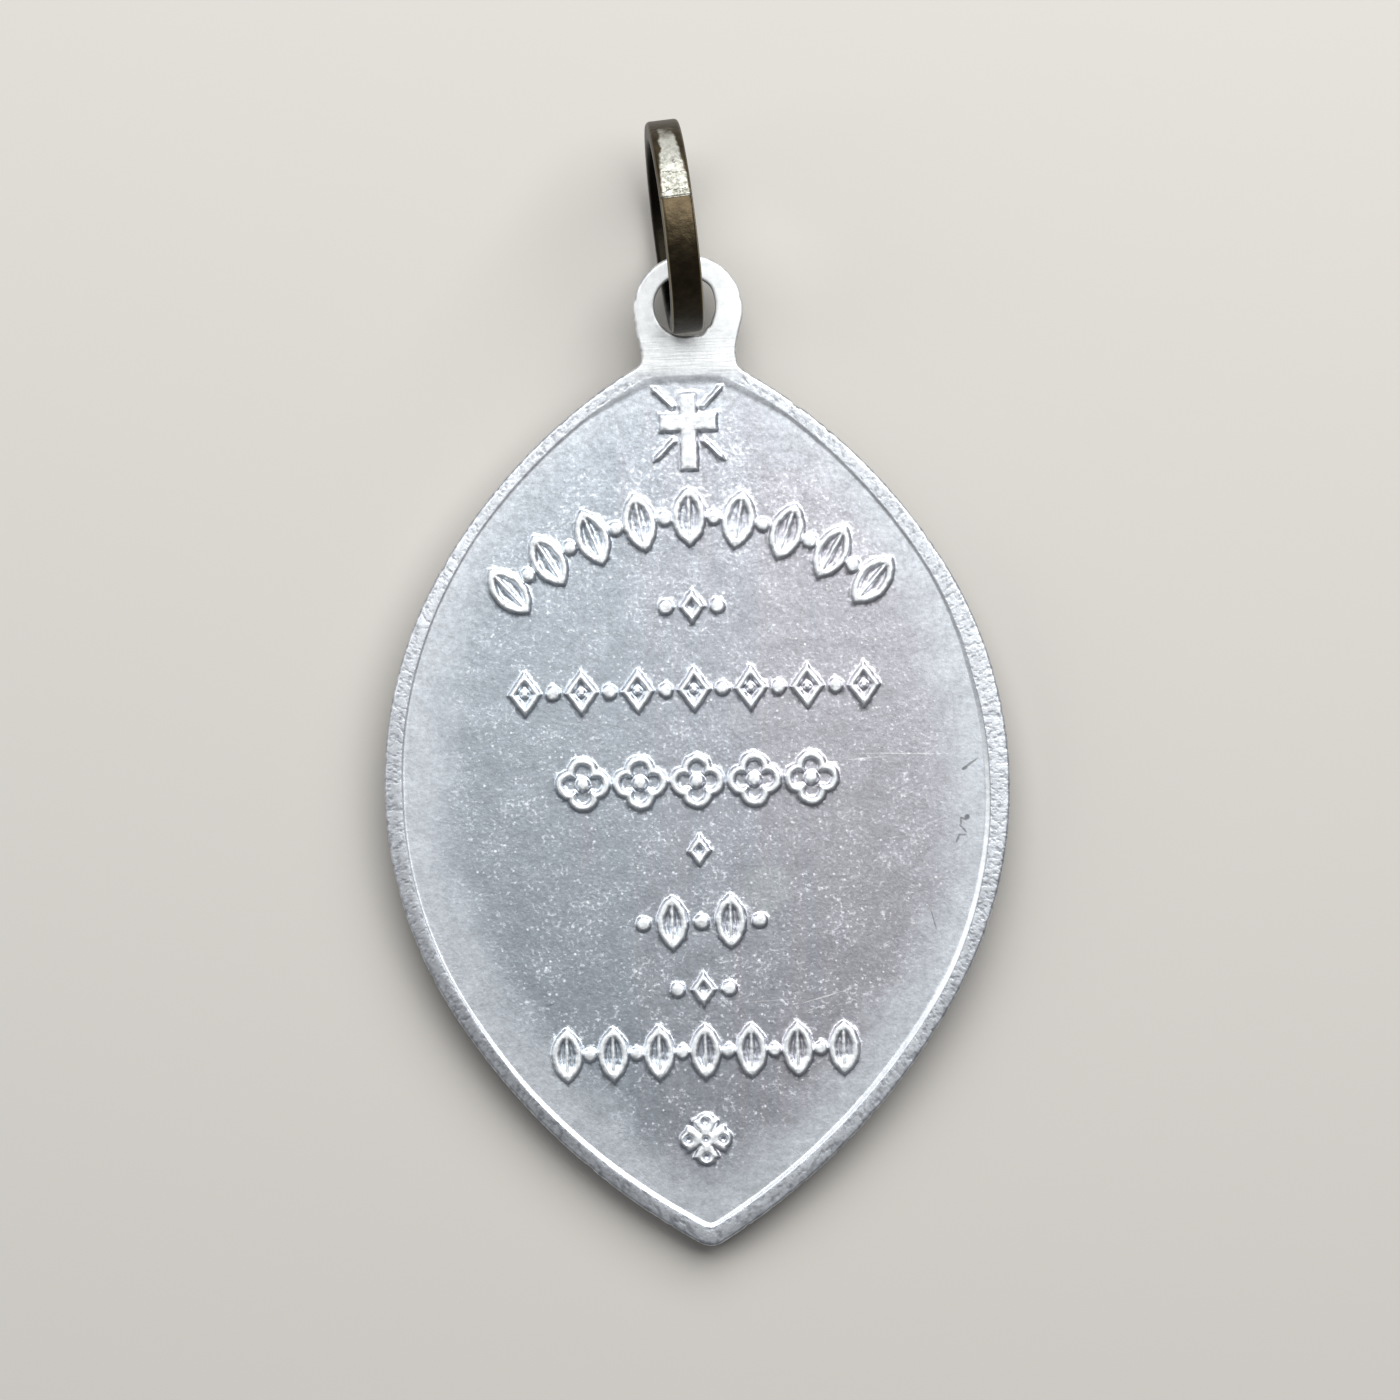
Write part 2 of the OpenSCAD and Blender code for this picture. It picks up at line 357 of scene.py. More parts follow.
def pointedOval(length, inset):
    half = length * 0.28
    radius = ((length / 2) ** 2 + half ** 2) / (2 * half)
    tip = math.acos((radius - half) / (radius - inset))
    right = arcPoints((half - radius, 0), radius - inset, -tip, tip, 0.09)
    return np.vstack([right, -right[1:-1]])


def leaf(length):
    outer, inner = pointedOval(length, 0), pointedOval(length, lineWidth)
    return [(True, outer), (False, inner), (True, bar(0.2, length * 0.86))]


def bead(size):
    return [(True, disc(0, 0, size / 2))]


def lozenge(length):
    shapes = [(True, diamond(length)), (False, diamond(length - 2.8 * lineWidth))]
    return shapes + ([(True, disc(0, 0, lineWidth / 2))] if length > 1.8 else [])


def quatrefoil(size):
    lobe = size * 0.27
    places = [turned([(0, size / 2 - lobe)], turn)[0] for turn in (0, 90, 180, 270)]
    shapes = [(True, disc(x, y, lobe)) for x, y in places]
    shapes += [(False, disc(x, y, lobe - lineWidth)) for x, y in places]
    return shapes + [(False, disc(0, 0, size * 0.2)), (True, disc(0, 0, size * 0.12))]


def cross(size):
    ray = [(-0.1, 0), (0.1, 0), (0.09, 1.15), (0, 1.32), (-0.09, 1.15)]
    shapes = [(True, bar(0.75, 3.44)), (True, bar(2.55, 0.78, y=0.4))]
    for side in (-1, 1):
        for up in (-1, 1):
            shapes.append((True, turned(ray, -side * (90 - up * 45), side * 0.64, 0.36 + up * 0.72)))
    return [(added, shape * size) for added, shape in shapes]


def rosette(size):
    lobes = [turned([(0, 0.73)], turn)[0] for turn in (0, 90, 180, 270)]
    eyes = [turned([(0, 0.78)], turn)[0] for turn in (0, 90, 180, 270)]
    shapes = [(True, disc(x, y, 0.41)) for x, y in lobes] + [(False, disc(x, y, 0.16, 20)) for x, y in eyes]
    for turn in (45, 135, 225, 315):
        shapes += [(True, turned(bar(0.2, 0.76, y=0.6), turn + spread)) for spread in (-16, 16)]
    shapes += [(True, disc(0, 0, 0.4)), (False, disc(0, 0, 0.12, 16))]
    return [(added, shape * size) for added, shape in shapes]


# Each row: height of its middle, count, spacing, and the two motifs that take turns, each with its length
# in millimetres, or 1 for the cross and the rosette, which are drawn at full size. x moves a row sideways,
# and bend is the radius that it is bent to.
ornamentRows = [
    {"y": 15.8, "x": 0.1, "count": 1, "pitch": 1.0, "motifs": ((cross, 1), (cross, 1))},
    {"y": 12.0, "bend": 12.2, "count": 17, "pitch": 1.1073, "motifs": ((leaf, 2.6), (bead, 0.6))},
    {"y": 8.0, "count": 3, "pitch": 1.15, "motifs": ((bead, 0.62), (lozenge, 1.5))},
    {"y": 4.3, "count": 13, "pitch": 1.26, "motifs": ((lozenge, 2.0), (bead, 0.6))},
    {"y": 0.2, "count": 5, "pitch": 2.55, "motifs": ((quatrefoil, 2.4), (quatrefoil, 2.4))},
    {"y": -2.9, "count": 1, "pitch": 1.0, "motifs": ((lozenge, 1.4), (lozenge, 1.4))},
    {"y": -6.1, "count": 5, "pitch": 1.3, "motifs": ((bead, 0.62), (leaf, 2.4))},
    {"y": -9.1, "count": 3, "pitch": 1.15, "motifs": ((bead, 0.62), (lozenge, 1.5))},
    {"y": -11.9, "count": 13, "pitch": 1.03, "motifs": ((leaf, 2.4), (bead, 0.55))},
    {"y": -15.8, "x": -0.1, "count": 1, "pitch": 1.0, "motifs": ((rosette, 1), (rosette, 1))},
]


def motifObject(make, size):
    shapes = make(size)
    points, edges = [], []
    for _, shape in shapes:
        start = len(points)
        points += [Vector(p) for p in shape]
        edges += [(start + i, start + (i + 1) % len(shape)) for i in range(len(shape))]
    verts, _, faces, *_ = delaunay_2d_cdt(points, edges, [], 0, 1e-4, False)
    flat = np.array(verts)
    middle = flat[np.array(faces)].mean(axis=1)
    inside = np.zeros(len(faces), bool)
    for added, shape in shapes:
        hit = contains(shape, middle)
        inside = inside | hit if added else inside & ~hit
    kept = [face for face, hit in zip(faces, inside) if hit]
    return meshObject(make.__name__, [(x * mm, y * mm, 0) for x, y in flat], kept)


def ornamentTree():
    # a row of motifs that take turns, bent round a centre below it; a very large bend radius makes it straight
    tree, given = newTree("ornamentRow", {
        "Geometry": "Geometry", "Count": "Int", "Pitch": "Float", "Bend Radius": "Float", "Middle": "Vector",
        "Even Motif": "Object", "Odd Motif": "Object", "Material": "Material"})
    index = addNode(tree, "GeometryNodeInputIndex")
    half = addNode(tree, "ShaderNodeMath", {0: given["Count"], 1: 0.5, 2: -0.5}, operation="MULTIPLY_ADD")
    steps = addNode(tree, "ShaderNodeMath", {0: index, 1: half}, operation="SUBTRACT")
    along = addNode(tree, "ShaderNodeMath", {0: steps, 1: given["Pitch"]}, operation="MULTIPLY")
    turn = addNode(tree, "ShaderNodeMath", {0: along, 1: given["Bend Radius"]}, operation="DIVIDE")
    sine = addNode(tree, "ShaderNodeMath", {0: turn}, operation="SINE")
    cosine = addNode(tree, "ShaderNodeMath", {0: turn}, operation="COSINE")
    drop = addNode(tree, "ShaderNodeMath", {0: cosine, 1: 1.0}, operation="SUBTRACT")
    bent = addNode(tree, "ShaderNodeCombineXYZ", {"X": sine, "Y": drop})
    sized = addNode(tree, "ShaderNodeVectorMath", {0: bent, "Scale": given["Bend Radius"]}, operation="SCALE")
    place = addNode(tree, "ShaderNodeVectorMath", {0: sized, 1: given["Middle"]}, operation="ADD")
    points = addNode(tree, "GeometryNodeMeshLine", {"Count": given["Count"]})
    placed = addNode(tree, "GeometryNodeSetPosition", {"Geometry": points, "Position": place})
    clockwise = addNode(tree, "ShaderNodeMath", {0: turn, 1: -1.0}, operation="MULTIPLY")
    tilt = addNode(tree, "ShaderNodeCombineXYZ", {"Z": clockwise})
    joined = addNode(tree, "GeometryNodeJoinGeometry")
    for name in ("Odd Motif", "Even Motif"):
        motif = addNode(tree, "GeometryNodeObjectInfo", {"Object": given[name], "As Instance": True})
        tree.links.new(motif.outputs["Geometry"], joined.inputs[0])
    copies = addNode(tree, "GeometryNodeInstanceOnPoints", {
        "Points": placed, "Instance": joined, "Pick Instance": True, "Instance Index": index, "Rotation": tilt})
    closeTree(tree, copies, given["Material"])
    return tree


def layOrnament(metal):
    # all rows as one flat plan, which the strike reads
    tree, library, plan = ornamentTree(), {}, bmesh.new()
    for row in ornamentRows:
        for key in row["motifs"]:
            if key not in library:
                library[key] = motifObject(*key)
        carrier = meshObject("rowCarrier", [], [])
        growMesh(carrier, tree, {
            "Count": row["count"], "Pitch": row["pitch"] * mm, "Bend Radius": row.get("bend", 10000) * mm,
            "Middle": (row.get("x", 0) * mm, row["y"] * mm, 0), "Even Motif": library[row["motifs"][0]],
            "Odd Motif": library[row["motifs"][1]], "Material": metal})
        plan.from_mesh(carrier.data)
        bpy.data.objects.remove(carrier)
    for thing in library.values():
        bpy.data.objects.remove(thing)
    thing = meshObject("ornamentPlan", [], [])
    plan.to_mesh(thing.data)
    plan.free()
    return thing


def crispPoints(plan):
    # points every 0.05 mm along the ornament's edges, so that its walls come out sharp, and every 0.15 mm
    # in a wider strip round them
    edges = {}
    for polygon in plan.data.polygons:
        for key in polygon.edge_keys:
            edges[key] = edges.get(key, 0) + 1
    flat = np.array([v.co[:2] for v in plan.data.vertices]) / mm
    spots = []
    for (a, b), faces in edges.items():
        if faces == 1:
            steps = max(1, int(np.hypot(*(flat[b] - flat[a])) / 0.02))
            spots += [flat[a] + (flat[b] - flat[a]) * k / steps for k in range(steps)]
    tree = pointTree(spots)
    fine, wider = hexGrid((-9.5, -17.6), (9.5, 18.2), 0.05), hexGrid((-10, -18), (10, 18.2), 0.15)
    fineReach = np.array([tree.find((x, y, 0))[2] for x, y in fine])
    widerReach = np.array([tree.find((x, y, 0))[2] for x, y in wider])
    return np.vstack([fine[fineReach < 0.12], wider[(widerReach >= 0.15) & (widerReach < 0.55)]])


def blankMesh(plan):
    # both faces, the outer wall and the hole's wall as one closed mesh
    crestTop, crestBack = crestLoop(True), crestLoop(False)
    half, wallRows = medal["thickness"] / 2, 6
    # where the rings of points lie that follow the step beside the rim, closest where it bends
    slopeSteps = (-0.1, -0.04, 0, 0.03, 0.07, 0.11, 0.15, 0.19, 0.23, 0.28, 0.34, 0.4, 0.48, 0.6)
    topPoints, topFaces = facePatch(crispPoints(plan), crestTop, slopeSteps, 0.34)
    backSteps = (-0.05, 0, 0.03, 0.09, 0.16, 0.22, 0.25, 0.29, 0.36)
    backPoints, backFaces = facePatch(np.zeros((0, 2)), crestBack, backSteps, 0.5)
    top, back = faceShape(topPoints, crestTop, True), faceShape(backPoints, crestBack, False)
    verts = [np.column_stack([topPoints, half + top[0]]), np.column_stack([backPoints, half - back[0]])]
    faces = [topFaces, backFaces + len(topPoints)]
    facts = [np.column_stack(top[1:] + (np.ones(len(topPoints)),)),
             np.column_stack(back[1:] + (np.zeros(len(backPoints)),))]
    start = len(topPoints) + len(backPoints)
    for loop in (outline, hole):
        upper, lower = faceShape(loop, crestTop, True), faceShape(loop, crestBack, False)
        count, spots = len(loop), np.arange(len(loop))
        for row in range(wallRows + 1):
            verts.append(np.column_stack([loop, half - lower[0] + (lower[0] + upper[0]) * row / wallRows]))
            facts.append(np.column_stack(upper[1:] + (np.full(count, 0.5),)))
            if row < wallRows:
                a, b = start + row * count + spots, start + row * count + (spots + 1) % count
                faces.append(np.column_stack([a, b, b + count, a, b + count, a + count]).reshape(-1, 3))
        start += (wallRows + 1) * count
    verts, faces = np.vstack(verts), np.vstack(faces)
    fromEdge, fromHole, fromCrest, lug, along, up = np.vstack(facts).T
    thing = meshObject("medalBody", verts * mm, faces)
    # what the strike and the metal read at each point
    readings = {
        "inField": (fromCrest > 0.05) & (up == 1),
        "faceUp": np.where(up == 1, smoothRise((np.minimum(fromEdge, fromHole) - 0.02) / 0.2), 0),
        "edgeNear": (1 - smoothRise(fromEdge / 0.3)) * (fromHole > 0.4),
        "crestDistance": np.clip(fromCrest, -2, 6),
        "lugFlat": lug,
        "rimTop": smoothRise((0.24 - fromCrest) / 0.12),
        "onFace": (up == 1) & (fromCrest > 0.3),
    }
    for name, values in readings.items():
        thing.data.attributes.new(name, "FLOAT", "POINT").data.foreach_set("value", values.astype(np.float32))
    towards = inwardNormals(outline)[np.round(along).astype(int) % len(outline)]
    inward = np.column_stack([towards, np.zeros(len(towards))]).astype(np.float32)
    thing.data.attributes.new("inward", "FLOAT_VECTOR", "POINT").data.foreach_set("vector", inward.ravel())
    built = bmesh.new()
    built.from_mesh(thing.data)
    bmesh.ops.remove_doubles(built, verts=built.verts, dist=0.0008 * mm)
    bmesh.ops.recalc_face_normals(built, faces=built.faces)
    openEdges = sum(1 for edge in built.edges if not edge.is_manifold)
    built.to_mesh(thing.data)
    built.free()
    print(f"blank cut: {len(thing.data.polygons)} faces, {openEdges} open edges")
    return thing


strike = {
    "Relief Height": 0.17 * mm,
    "Wall Width": 0.18 * mm,
    "Wander": 0.13 * mm,        # of the relief's edges, worn here and there
    "Dent Depth": 0.012 * mm,   # soft unevenness of struck and handled metal
    "Nick Depth": 0.1 * mm,     # knocks in the outer edge
    "Seed": 4.0,
}


def strikeTree():
    # presses the ornament and the wear into the blank and lays it in its place
    tree, given = newTree("strikeMedal", {
        "Geometry": "Geometry", "Ornament Plan": "Object", "Relief Height": "Float", "Wall Width": "Float",
        "Wander": "Float", "Dent Depth": "Float", "Nick Depth": "Float", "Seed": "Float", "Slope": "Vector",
        "Seat": "Vector", "Material": "Material"})
    position = addNode(tree, "GeometryNodeInputPosition")
    flat = addNode(tree, "ShaderNodeVectorMath", {0: position, 1: (1, 1, 0)}, operation="MULTIPLY")
    inField, faceUp, edgeNear = (
        addNode(tree, "GeometryNodeInputNamedAttribute", {"Name": name}, data_type="FLOAT")
        for name in ("inField", "faceUp", "edgeNear"))
    inward = addNode(tree, "GeometryNodeInputNamedAttribute", {"Name": "inward"}, data_type="FLOAT_VECTOR")

    # distance from the plan's edge, under zero on its motifs
    plan = addNode(tree, "GeometryNodeObjectInfo", {"Object": given["Ornament Plan"]})
    planShape = plan.outputs["Geometry"]
    neighbours = addNode(tree, "GeometryNodeInputMeshEdgeNeighbors")
    atEdge = addNode(tree, "FunctionNodeCompare", {"A": neighbours, "B": 1}, data_type="INT", operation="EQUAL")
    border = addNode(tree, "GeometryNodeSeparateGeometry", {
        "Geometry": planShape, "Selection": atEdge}, domain="EDGE")
    toBorder = addNode(tree, "GeometryNodeProximity", {
        0: border, "Sample Position": flat}, target_element="EDGES")
    toPlan = addNode(tree, "GeometryNodeProximity", {
        0: planShape, "Sample Position": flat}, target_element="FACES")
    onMotif = addNode(tree, "ShaderNodeMath", {0: toPlan.outputs["Distance"], 1: 1e-8}, operation="LESS_THAN")
    sign = addNode(tree, "ShaderNodeMath", {0: onMotif, 1: -2.0, 2: 1.0}, operation="MULTIPLY_ADD")
    exact = addNode(tree, "ShaderNodeMath", {0: toBorder.outputs["Distance"], 1: sign}, operation="MULTIPLY")
    # the walls wander a little, every 0.4 mm, as worn relief does
    wander = addNode(tree, "ShaderNodeTexNoise", {
        "Vector": flat, "W": given["Seed"], "Scale": 2600.0, "Detail": 1.0}, noise_dimensions="4D")
    offset = addNode(tree, "ShaderNodeMath", {0: wander.outputs[0], 1: 0.5}, operation="SUBTRACT")
    distance = addNode(tree, "ShaderNodeMath", {
        0: offset, 1: given["Wander"], 2: exact}, operation="MULTIPLY_ADD")
    halfWall = addNode(tree, "ShaderNodeMath", {0: given["Wall Width"], 1: 0.5}, operation="MULTIPLY")
    backWall = addNode(tree, "ShaderNodeMath", {0: given["Wall Width"], 1: -0.5}, operation="MULTIPLY")
    wall = addNode(tree, "ShaderNodeMapRange", {
        "Value": distance, "From Min": backWall, "From Max": halfWall, "To Min": 1.0, "To Max": 0.0},
        interpolation_type="SMOOTHSTEP")
    raised = addNode(tree, "ShaderNodeMath", {0: wall, 1: inField}, operation="MULTIPLY")
    measured = addNode(tree, "GeometryNodeStoreNamedAttribute", {
        "Geometry": given["Geometry"], "Name": "fromRelief", "Value": toBorder.outputs["Distance"]},
        data_type="FLOAT", domain="POINT")
    marked = addNode(tree, "GeometryNodeStoreNamedAttribute", {
        "Geometry": measured, "Name": "relief", "Value": raised}, data_type="FLOAT", domain="POINT")

    # waves 1.2 mm long and less, over the whole face
    waves = addNode(tree, "ShaderNodeTexNoise", {
        "Vector": flat, "W": given["Seed"], "Scale": 800.0, "Detail": 2.0, "Roughness": 0.6},
        noise_dimensions="4D")
    uneven = addNode(tree, "ShaderNodeMath", {0: waves.outputs[0], 1: 2.0, 2: -1.0}, operation="MULTIPLY_ADD")
    dents = addNode(tree, "ShaderNodeMath", {0: uneven, 1: given["Dent Depth"]}, operation="MULTIPLY")
    dentsUp = addNode(tree, "ShaderNodeMath", {0: dents, 1: faceUp}, operation="MULTIPLY")
    lift = addNode(tree, "ShaderNodeMath", {
        0: raised, 1: given["Relief Height"], 2: dentsUp}, operation="MULTIPLY_ADD")
    rise = addNode(tree, "ShaderNodeCombineXYZ", {"Z": lift})
    struck = addNode(tree, "GeometryNodeSetPosition", {"Geometry": marked, "Offset": rise})

    # knocks up to half a millimetre long, along the outer edge
    knocks = addNode(tree, "ShaderNodeTexNoise", {
        "Vector": flat, "W": given["Seed"], "Scale": 2100.0, "Detail": 3.0, "Roughness": 0.6},
        noise_dimensions="4D")
    deep = addNode(tree, "ShaderNodeMapRange", {
        "Value": knocks.outputs[0], "From Min": 0.54, "From Max": 0.78, "To Min": 0.0, "To Max": 1.0})
    deepEdge = addNode(tree, "ShaderNodeMath", {0: deep, 1: edgeNear}, operation="MULTIPLY")
    bite = addNode(tree, "ShaderNodeMath", {0: deepEdge, 1: given["Nick Depth"]}, operation="MULTIPLY")
    push = addNode(tree, "ShaderNodeVectorMath", {0: inward, "Scale": bite}, operation="SCALE")
    worn = addNode(tree, "GeometryNodeSetPosition", {"Geometry": struck, "Offset": push})

    laid = addNode(tree, "GeometryNodeTransform", {
        "Geometry": worn, "Translation": given["Seat"], "Rotation": given["Slope"]})
    closeTree(tree, laid, given["Material"])
    return tree


finish = {
    "fieldCool": "#BEC6CE",     # bluish left of the middle
    "fieldWarm": "#C4C3CA",     # faintly mauve right of it
    "matteBand": "#C4C9CE",
    # bright flecks, their light colour partly a painted glint
    "fleckGlint": "#E6E9EC",
    "worn": "#D9DCDE",          # rubbed tops of the relief
    "rim": "#C9CDD2",
    "slope": "#F0F3F5",         # painted highlight on the rim's inner slope
    "pitShade": "#7F838A",           # painted shade in the rim's pits and in a thin line where the rim turns down
    "lug": "#D6D8D8",
    "centreRough": (0.34, 0.4),     # at the foot and at the top, which is more handled
    "bandRough": 0.46,
    "fleckRough": 0.55,
    "wornRough": 0.52,
    "rimRough": 0.47,
    "lugRough": 0.55,
}

# marks on the face: middle, half length and half width, turn in degrees, raggedness, colour, strength
marks = [
    ((3.0, -4.65), (1.14, 1.18), 0, 0.25, "#D5DBDC", 0.5),      # pale dried drop
    ((2.95, -5.7), (0.35, 0.5), -20, 0.3, "#D5DBDC", 0.35),
    ((2.0, 2.9), (0.5, 0.75), 15, 0.3, "#D9DDE2", 0.4),
    ((5.35, -9.6), (0.95, 0.035), 15, 0.0, "#FFFFFF", 0.9),     # bright scratches
    ((4.95, -10.1), (0.6, 0.03), 17, 0.0, "#FFFFFF", 0.55),
    ((2.9, -9.7), (1.1, 0.03), 3, 0.0, "#F4F5F7", 0.5),
    ((9.3, 1.15), (1.9, 0.03), -2, 0.0, "#F4F5F7", 0.6),
    ((7.6, 1.0), (0.9, 0.04), 3, 0.02, "#F4F5F7", 0.6),
    ((-8.2, 3.4), (0.7, 0.025), 62, 0.0, "#F4F5F7", 0.5),
    ((-4.4, -13.2), (0.5, 0.03), 40, 0.0, "#F4F5F7", 0.5),
    ((12.2, 0.62), (0.42, 0.06), 33, 0.1, "#6A6D6F", 0.7),      # dark specks and a curl of grime
    ((11.93, 0.42), (0.14, 0.08), 20, 0.1, "#6A6D6F", 0.7),
    ((11.98, -1.76), (0.13, 0.12), 0, 0.1, "#64676A", 0.8),
    ((11.83, -1.84), (0.16, 0.05), -25, 0.08, "#6E7174", 0.65),
    ((11.7, -1.95), (0.2, 0.055), 85, 0.08, "#6E7174", 0.65),
    ((11.78, -2.27), (0.26, 0.055), -48, 0.08, "#6E7174", 0.65),
    ((11.76, -2.56), (0.2, 0.05), -2, 0.08, "#6E7174", 0.65),
    ((11.53, -2.72), (0.24, 0.055), 68, 0.08, "#6E7174", 0.65),
    ((10.35, -6.3), (0.5, 0.03), -76, 0.0, "#77797E", 0.7),
    ((-6.9, -9.6), (0.3, 0.03), 20, 0.1, "#77797E", 0.5),
]


def struckAluminium():
    # aluminium struck between steel dies: a cool white metal, matte along the rim where the die's grain is
    # left, smoother and full of bright flecks where handling has rubbed it, their light colour partly a painted
    # glint, and filed flat across the lug; painted shade in the rim's pits and a painted highlight on its inner
    # slope
    material, tree = newMaterial("struckAluminium")
    place = addNode(tree, "ShaderNodeTexCoord").outputs["Object"]
    plane = addNode(tree, "ShaderNodeMapping", {    # the medal's own plane, in millimetres
        "Vector": place, "Location": (0, medal["seatY"] * mm, medal["seatZ"] * mm),
        "Rotation": (math.radians(medal["slope"]), 0, 0), "Scale": (mm, mm, mm)}, vector_type="TEXTURE")
    crest, lug, rim, edgeNear, onFace, relief, fromRelief = (
        addNode(tree, "ShaderNodeAttribute", attribute_name=name).outputs["Fac"]
        for name in ("crestDistance", "lugFlat", "rimTop", "edgeNear", "onFace", "relief", "fromRelief"))

    # where the matte band gives way to the rubbed middle, 0.3 to 3.3 mm in from the rim, less at the top
    drift = addNode(tree, "ShaderNodeTexNoise", {"Vector": plane, "Scale": 0.55, "Detail": 2.0})
    inset = addNode(tree, "ShaderNodeMath", {0: drift, 1: 2.2, 2: crest}, operation="MULTIPLY_ADD")
    sides = addNode(tree, "ShaderNodeSeparateXYZ", {0: plane})
    upper = addNode(tree, "ShaderNodeMapRange", {
        "Value": sides.outputs["Y"], "From Min": 4.0, "From Max": 14.0})
    raisedInset = addNode(tree, "ShaderNodeMath", {0: upper, 1: 1.1, 2: inset}, operation="MULTIPLY_ADD")
    middle = addNode(tree, "ShaderNodeMapRange", {"Value": raisedInset, "From Min": 1.4, "From Max": 4.4},
                     interpolation_type="SMOOTHSTEP")

    # soft round flecks up to 0.15 mm across, one in every second cell, and ragged ones in loose clusters; their
    # light colour is partly a painted glint
    cells = addNode(tree, "ShaderNodeTexVoronoi", {"Vector": plane, "Scale": 3.4})
    cellColour = addNode(tree, "ShaderNodeSeparateColor", {0: cells.outputs["Color"]})
    reach = addNode(tree, "ShaderNodeMapRange", {
        "Value": cellColour.outputs["Green"], "From Min": 0.5, "From Max": 1.0, "To Min": 0.02, "To Max": 0.2})
    dotted = addNode(tree, "ShaderNodeMath", {0: cells.outputs["Distance"], 1: reach}, operation="DIVIDE")
    dots = addNode(tree, "ShaderNodeMapRange", {
        "Value": dotted, "From Min": 0.4, "From Max": 1.5, "To Min": 0.9, "To Max": 0.0})
    specks = addNode(tree, "ShaderNodeTexNoise", {
        "Vector": plane, "Scale": 6.0, "Detail": 2.0, "Roughness": 0.55})
    crowd = addNode(tree, "ShaderNodeTexNoise", {"Vector": plane, "Scale": 0.7, "Detail": 2.0})
    crowded = addNode(tree, "ShaderNodeMath", {0: crowd, 1: 0.3, 2: specks}, operation="MULTIPLY_ADD")
    # the metal is rougher close to the relief of the upper half
    closeBy = addNode(tree, "ShaderNodeMapRange", {
        "Value": fromRelief, "From Min": 0.1 * mm, "From Max": 1.3 * mm, "To Min": 0.1, "To Max": 0.0})
    upperClose = addNode(tree, "ShaderNodeMath", {0: closeBy, 1: upper, 2: crowded}, operation="MULTIPLY_ADD")
    ragged = addNode(tree, "ShaderNodeMapRange", {"Value": upperClose, "From Min": 0.72, "From Max": 1.02})
    some = addNode(tree, "ShaderNodeMath", {0: dots, 1: ragged}, operation="MAXIMUM")
    glintFlecks = addNode(tree, "ShaderNodeMath", {0: some, 1: middle}, operation="MULTIPLY")

    # knocks in the rim, about 0.3 mm across, deepest along the outer edge and fewer at the top, darkened with
    # painted shade, and a thin painted shadow line where the rim turns down; their pattern is wrapped round the
    # medal, 17 mm from its middle
    heading = addNode(tree, "ShaderNodeVectorMath", {0: plane, 1: (1, 1, 0)}, operation="MULTIPLY")
    around = addNode(tree, "ShaderNodeVectorMath", {0: heading}, operation="NORMALIZE")
    across = addNode(tree, "ShaderNodeCombineXYZ", {"Z": crest})
    wrapped = addNode(tree, "ShaderNodeVectorMath", {
        0: around, 1: (17, 17, 0), 2: across}, operation="MULTIPLY_ADD")
    pits = addNode(tree, "ShaderNodeTexNoise", {
        "Vector": wrapped, "Scale": 3.8, "Detail": 1.2, "Roughness": 0.5})
    crowdedPits = addNode(tree, "ShaderNodeMath", {0: edgeNear, 1: 0.09, 2: pits}, operation="MULTIPLY_ADD")
    fewer = addNode(tree, "ShaderNodeMath", {0: upper, 1: -0.02, 2: crowdedPits}, operation="MULTIPLY_ADD")
    pitDepth = addNode(tree, "ShaderNodeMapRange", {"Value": fewer, "From Min": 0.46, "From Max": 0.82})
    bare = addNode(tree, "ShaderNodeMath", {0: 1.0, 1: lug}, operation="SUBTRACT")
    bareOrEdge = addNode(tree, "ShaderNodeMath", {0: bare, 1: edgeNear}, operation="MAXIMUM")
    flatRim = addNode(tree, "ShaderNodeMapRange", {
        "Value": crest, "From Min": -0.04, "From Max": 0.02, "To Min": 1.0, "To Max": 0.0})
    rimOnly = addNode(tree, "ShaderNodeMath", {0: flatRim, 1: bareOrEdge}, operation="MULTIPLY")
    pitted = addNode(tree, "ShaderNodeMath", {0: pitDepth, 1: rimOnly}, operation="MULTIPLY")
    lineSpread = addNode(tree, "ShaderNodeMath", {0: crest}, operation="ABSOLUTE")
    shadowLineNear = addNode(tree, "ShaderNodeMapRange", {
        "Value": lineSpread, "From Min": 0.012, "From Max": 0.035, "To Min": 0.55, "To Max": 0.0})
    lower = addNode(tree, "ShaderNodeMapRange", {
        "Value": sides.outputs["Y"], "From Min": 3.0, "From Max": 8.0, "To Min": 1.0, "To Max": 0.0})
    paintedShadowLine = addNode(tree, "ShaderNodeMath", {0: shadowLineNear, 1: lower}, operation="MULTIPLY")
    paintedRimShade = addNode(tree, "ShaderNodeMath", {
        0: pitted, 1: 0.7, 2: paintedShadowLine}, operation="MULTIPLY_ADD", use_clamp=True)

    # the die's grain, 0.15 mm and finer, drawn a little coarser than the real one so that it shows
    grain = addNode(tree, "ShaderNodeTexNoise", {
        "Vector": plane, "Scale": 7.0, "Detail": 3.0, "Roughness": 0.6})
    # faint streaks of the rolled sheet, 1 mm wide and 10 mm long
    longways = addNode(tree, "ShaderNodeMapping", {"Vector": plane, "Scale": (1.1, 0.1, 1.0)})
    streaks = addNode(tree, "ShaderNodeTexNoise", {"Vector": longways, "Scale": 1.0, "Detail": 3.0})
    # file strokes across the lug, about 0.1 mm apart, below the hole more than round it
    crossways = addNode(tree, "ShaderNodeMapping", {"Vector": plane, "Scale": (0.35, 7.0, 1.0)})
    strokes = addNode(tree, "ShaderNodeTexNoise", {
        "Vector": crossways, "Scale": 1.4, "Detail": 4.0, "Roughness": 0.6})
    patches = addNode(tree, "ShaderNodeMapRange", {
        "Value": sides.outputs["Y"], "From Min": 19.0, "From Max": 20.8, "To Min": 0.55, "To Max": 0.12})
    filed = addNode(tree, "ShaderNodeMath", {0: strokes, 1: patches}, operation="MULTIPLY")

